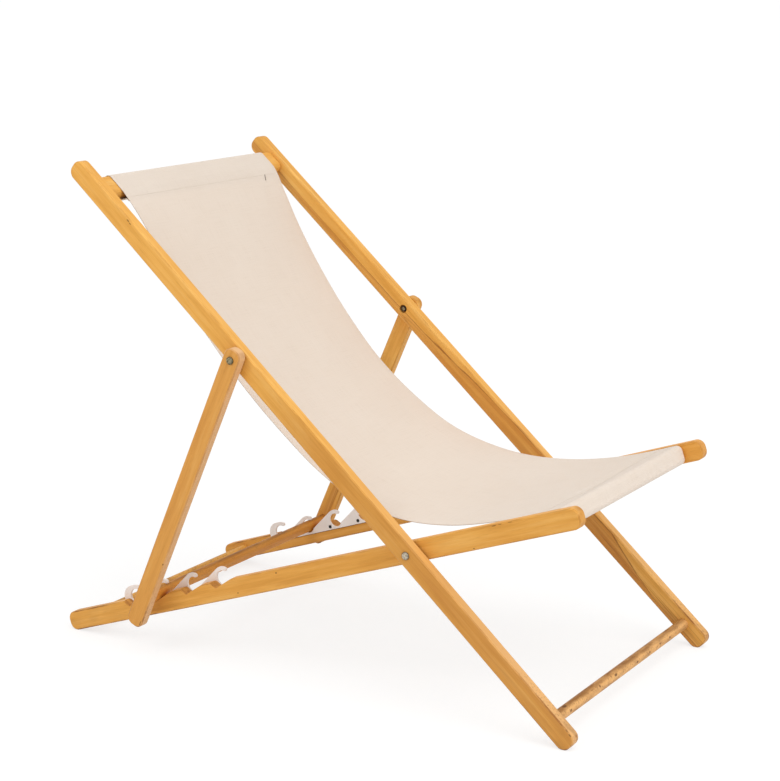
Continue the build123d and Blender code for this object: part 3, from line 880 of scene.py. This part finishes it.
def make_loose_thread(material):
    """The loose end of the seam's thread, lying on the sling below the top sleeve."""
    points = []
    for i in range(LOOSE_STEPS + 1):
        run = i / LOOSE_STEPS
        share = LOOSE_START[0] + (LOOSE_END[0] - LOOSE_START[0]) * (run + LOOSE_BOW * run * (1 - run))
        below = LOOSE_START[1] + (LOOSE_END[1] - LOOSE_START[1]) * run
        rows = open_line(share)
        at = below / STEP_ALONG
        place = rows[int(at)].lerp(rows[int(at) + 1], at - int(at))
        lift = CANVAS_THICKNESS + LOOSE_RADIUS * (LOOSE_LIFT + LOOSE_CURL * run * run)
        points.append(Vector((share * HALF_WIDTH, place.y, place.z)) + back_across * lift)
    build = bmesh.new()
    thread_tube(build, points, [0] + [LOOSE_RADIUS] * (LOOSE_STEPS - 1) + [0])
    finish_thread(build, "loose_thread", material, "back_frame")


def make_stitches(name, row, outward, rear, body, material):
    """A row of stitches through both layers of a sleeve, seen on its face and on its back."""
    build = bmesh.new()
    count = int((2 * HALF_WIDTH - 2 * HEM_MARGIN) / STITCH_PITCH)
    radii = [0] + [THREAD_RADIUS] * (len(STITCH_PATH) - 2) + [0]
    for face in (CANVAS_THICKNESS, -rear):
        for i in range(count):
            points = []
            for step, lift in STITCH_PATH:
                x = (i - (count - 1) / 2 + (0.5 if face < 0 else 0)) * STITCH_PITCH + step * STITCH_LENGTH
                place = open_line(x / HALF_WIDTH)[row] + outward * face
                place += outward * math.copysign(lift * THREAD_RADIUS, face)
                points.append(Vector((x, place.y, place.z)))
            thread_tube(build, points, radii)
    finish_thread(build, name, material, body)


# Floor and light

FLOOR_SIZE = 160.0
FLOOR_COLOUR, FLOOR_SEEN = (0.8, 0.8, 0.8), (0.3, 0.3, 0.3)  # for other light, and for the camera
FLOOR_GLOW = 0.72  # added for the camera, so that the floor looks white and keeps its shadow
FLOOR_FINISH = {"Roughness": 0.9, "Specular IOR Level": 0.0, "Emission Color": (1, 1, 1, 1)}
KEY_PLACE = Vector((-1.8, 0.7, 1.75))  # soft lamp on the chair's left side
KEY_WATTS, KEY_SIZE = 10.0, 1.0
FRONT_PLACE = Vector((-0.5, -2.7, 1.3))  # soft lamp in front of the chair
FRONT_WATTS, FRONT_SIZE = 17.0, 1.4
LAMP_AIM = Vector((0, 0, 0.45))
TOP_STRENGTH = 0.95
TOP_PLACE, TOP_TRAVEL = Vector((0, 0, 3)), Vector((0.1, 0.35, -1.0))
TOP_SPREAD = 55.0  # degrees
SKY_STRENGTH = 0.70


def seen_directly(tree):
    """1 where the camera looks, directly or through a reflection, and 0 for other light paths."""
    rays = add(tree, "ShaderNodeLightPath")
    glossy = calculate(tree, "MAXIMUM", rays.outputs["Is Glossy Ray"], rays.outputs["Is Transmission Ray"])
    return calculate(tree, "MAXIMUM", rays.outputs["Is Camera Ray"], glossy)


def make_stage():
    mesh = bpy.data.meshes.new("floor")
    half = FLOOR_SIZE / 2
    corners = [(-half, -half, 0), (half, -half, 0), (half, half, 0), (-half, half, 0)]
    mesh.from_pydata(corners, [], [(0, 1, 2, 3)])
    floor = new_object("floor", mesh)
    material, tree, shader = new_material("floor", FLOOR_FINISH)
    seen = seen_directly(tree)
    tree.links.new(mix(tree, seen, FLOOR_COLOUR, FLOOR_SEEN), shader.inputs["Base Color"])
    tree.links.new(product(tree, seen, FLOOR_GLOW), shader.inputs["Emission Strength"])
    give(floor, material)


def make_light():
    world = bpy.data.worlds.new("studio")
    bpy.context.scene.world = world
    world.use_nodes = True
    tree = world.node_tree
    background = tree.nodes["Background"]
    tree.links.new(spread(tree, seen_directly(tree), 0, 1, SKY_STRENGTH, 1.0), background.inputs["Strength"])
    background.inputs["Color"].default_value = (1, 1, 1, 1)
    top = bpy.data.lights.new("top_lamp", "SUN")
    top.energy = TOP_STRENGTH
    top.angle = math.radians(TOP_SPREAD)
    lamps = [(top, TOP_PLACE, TOP_TRAVEL)]
    for name, place, watts, size in (
        ("key_lamp", KEY_PLACE, KEY_WATTS, KEY_SIZE), ("front_lamp", FRONT_PLACE, FRONT_WATTS, FRONT_SIZE),
    ):
        soft = bpy.data.lights.new(name, "AREA")
        soft.energy = watts
        soft.size = size
        lamps.append((soft, place, LAMP_AIM - place))
    for data, place, travel in lamps:
        lamp = bpy.data.objects.new(data.name, data)
        lamp.location = place
        lamp.rotation_euler = travel.to_track_quat("-Z", "Y").to_euler()
        bpy.context.collection.objects.link(lamp)


# Making

make_camera()
make_stage()
make_light()
bpy.context.scene.view_settings.view_transform = "Standard"

prop_along = centre("prop_bar") - PROP_PIVOT
prop_along.x = 0
prop_along.normalize()
prop_across = Vector((0, -prop_along.z, prop_along.y))


def marks_on(node, pivot, along, across, spots):
    """Marks on a rail's left face: (along, across, half length, half width) from its pivot."""
    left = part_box(node)[0].x
    marks = []
    for run, rise, half_length, half_width in spots:
        place = pivot + along * run + across * rise
        marks.append((Vector((left, place.y, place.z)), half_length, half_width))
    return marks


near_back_marks = marks_on("back_rail_left", MAIN_PIVOT, back_along, back_across, [
    (0.722, 0.0125, 0.004, 0.0014), (0.716, 0.0115, 0.003, 0.001), (-0.352, 0.0163, 0.006, 0.0012),
    (-0.364, 0.0166, 0.005, 0.0016), (-0.373, 0.0155, 0.004, 0.0014),
])
near_seat_marks = marks_on("seat_rail_left", MAIN_PIVOT, seat_along, seat_across, [
    (0.275, 0.0113, 0.0022, 0.0016), (0.365, -0.0088, 0.002, 0.0013), (-0.156, 0.0145, 0.005, 0.0009),
    (-0.167, 0.0150, 0.004, 0.0007), (-0.185, 0.0152, 0.005, 0.0007), (-0.110, -0.0135, 0.002, 0.001),
])
dowel = centre("foot_dowel")
dowel_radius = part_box("foot_dowel")[1].z - dowel.z
dowel_marks = []
# Place along the dowel, degrees about it from the rear, half length and half width
for x, turn, half_length, half_width in (
    (-0.044, 148, 0.006, 0.0028), (0.037, 176, 0.004, 0.0025), (-0.103, 144, 0.003, 0.0024),
    (-0.209, 168, 0.004, 0.0025), (0.087, 168, 0.003, 0.002), (-0.216, 95, 0.007, 0.0035),
    (0.13, 160, 0.003, 0.002), (0.17, 168, 0.003, 0.002),
):
    out = Vector((0, math.cos(math.radians(turn)), math.sin(math.radians(turn))))
    dowel_marks.append((Vector((x, dowel.y, dowel.z)) + out * dowel_radius, half_length, half_width))
near_leg_marks = marks_on("prop_leg_left", PROP_PIVOT, prop_along, prop_across, [
    (0.396, -0.0145, 0.0025, 0.0015), (0.522, -0.0125, 0.006, 0.0009),
])
# Painted shadow lines under a hook plate, and painted shade of the bore round the nut
painted_shadow_under_plate = marks_on("seat_rail_right", MAIN_PIVOT, seat_along, seat_across, [
    (BAR_PLACES[0] + 0.05, PLATE_FOOT - 0.0004, 0.11, 0.0014),
    (BAR_PLACES[2] + 0.03, PLATE_FOOT - 0.0004, 0.10, 0.0014),
])
# Painted shade: a dark disc for the bore round the prop nut
painted_bore_shade = marks_on("back_rail_right", PROP_PIVOT, back_along, back_across, [(0, 0, 0.0085, 0.0085)])
wood_pieces = [
    ("back_rail_left", back_along, {
        "seed": 1.0, "lines": 0.35, "shade_low_tint": (0.84, 0.77, 0.70), "heart": 0.3, "lit_narrow_low": 0.6,
        "marks": near_back_marks,
    }),
    ("back_rail_right", back_along, {
        "seed": 2.3, "lines": 1.0, "heart": 0.85, "core": centre("back_rail_right"), "lit_narrow_low": 0.4,
        "marks": painted_bore_shade,
    }),
    ("seat_rail_left", seat_along, {
        "seed": 3.1, "lines": 0.2, "tint": (0.96, 0.92, 0.88), "marks": near_seat_marks,
    }),
    ("seat_rail_right", seat_along, {
        "seed": 4.7, "lines": 0.6, "tint": (0.96, 0.88, 0.8), "marks": painted_shadow_under_plate,
    }),
    ("prop_leg_left", prop_along, {
        "seed": 5.9, "lines": 0.25, "tint": (0.86, 0.76, 0.61), "lit_narrow_high": 1.0, "lit_narrow_low": 1.0,
        "marks": near_leg_marks,
    }),
    ("prop_leg_right", prop_along, {"seed": 6.4, "lines": 1.2, "heart": 0.5}),
    ("top_rail", cross, {"seed": 7.7, "lines": 0.6}),
    ("front_rail", cross, {"seed": 8.2, "lines": 0.4}),
    ("prop_bar", cross, {"seed": 9.6, "lines": 0.7, "tint": (0.9, 0.74, 0.56), "upper_dark": 0.8}),
    ("foot_dowel", cross, {
        "seed": 10.4, "lines": 0.5, "tint": (0.95, 0.92, 0.88), "lit_narrow_low": 0.5, "upper_dark": 0.9,
        "marks": dowel_marks,
    }),
    ("rear_dowel", cross, {"seed": 11.8, "lines": 0.3}),
]
for node, along, looks in wood_pieces:
    give(nodes[node], wood(f"wood_{node}", along, **looks))
    soften(nodes[node], WOOD_EASE)

plastic = plastic_material()
steel = metal_material("plated_steel", "CFC6B4", "948773", 0.4)
dull = metal_material("tarnished_steel", "A89F80", "5E5036", 0.45, metallic=0.85)
# The prop nut is painted dark reddish brown, as painted shade of the bore it sits in
nut_bore_shade = metal_material("nut_dark_for_bore_shade", "4A3020", "1E120B", 0.6, metallic=0.4)
black = metal_material("black_screw", "2A2725", "151312", 0.45, metallic=0.6)
pivot_metals = {
    "main_bolt": steel, "main_spacer": steel, "main_washer": steel, "main_nut": steel,
    "prop_bolt": dull, "prop_washer": steel, "prop_nut": nut_bore_shade,
}
for side in sides:
    make_hook_plate(side, plastic)
    make_screws(side, black)
    for kind, metal in pivot_metals.items():
        give(nodes[f"{kind}_{side}"], metal)
        soften(nodes[f"{kind}_{side}"], BOLT_EASE)

cloth, cloth_length = make_canvas()
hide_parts("canvas_sling")
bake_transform(cloth)

thread = thread_material("sewing_thread", "D0BFAE", "E2D4C5")
rear_layer = CANVAS_GAP + CANVAS_THICKNESS
make_stitches("top_stitches", TOP_SEAM, back_across, rear_layer, "back_frame", thread)
make_stitches("front_stitches", FRONT_SEAM, seat_across, rear_layer, "seat_frame", thread)
make_loose_thread(thread_material("loose_thread", "5A4E45", "7C6F63"))
